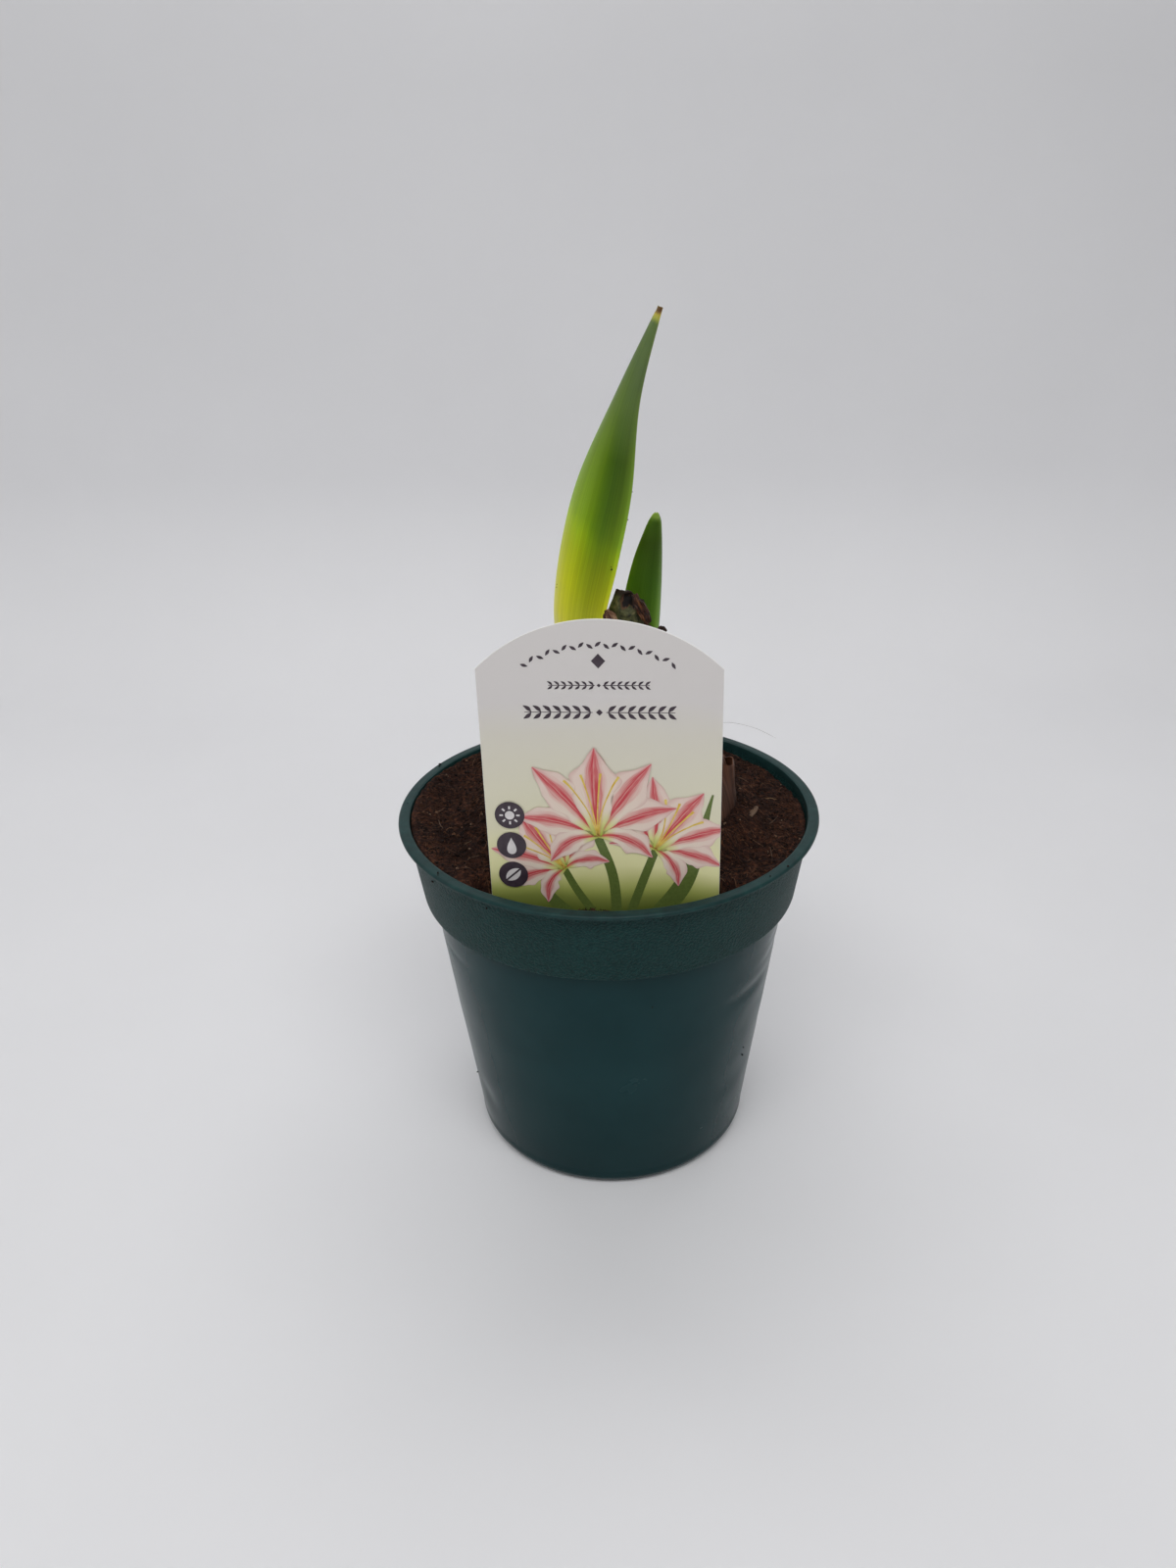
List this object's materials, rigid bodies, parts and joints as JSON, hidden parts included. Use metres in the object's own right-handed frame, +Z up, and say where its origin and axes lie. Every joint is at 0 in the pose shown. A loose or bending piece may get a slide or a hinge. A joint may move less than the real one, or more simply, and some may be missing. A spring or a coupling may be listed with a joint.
{
  "type": "potted amaryllis",
  "caption": "Amaryllis bulb sprouting in a round plastic nursery pot filled with peat, with strap leaves and an arched stick-in label.",
  "frame": {"origin": "centre of the pot's foot, on the surface it stands on", "axes": "+Z up along the pot's axis; -Y towards the printed face of the label; +X to the right as the label is read"},
  "size_m": [0.15, 0.15, 0.2993],
  "materials": {
    "pot_plastic": "dark green moulded polypropylene, fine grained on the collar and smooth below",
    "peat": "moist brown peat with coir fibres, matte",
    "tunic": "papery brown bulb skin with fine veins",
    "leaf_green": "waxy green leaf, yellow-green at its foot",
    "young_leaf_green": "waxy dark green leaf",
    "old_leaf_green": "dull grey-green old leaf base, withered brown at its end",
    "dried_leaf": "dry brown scale",
    "label_film": "printed film with a satin varnish"
  },
  "bodies": {
    "root": {"pot": "pot_plastic", "soil": "peat", "bulb": "tunic", "large_leaf": "leaf_green", "young_leaf": "young_leaf_green", "old_leaf_base": "old_leaf_green", "dry_scale": "dried_leaf", "label": "label_film"}
  },
  "joints": []
}
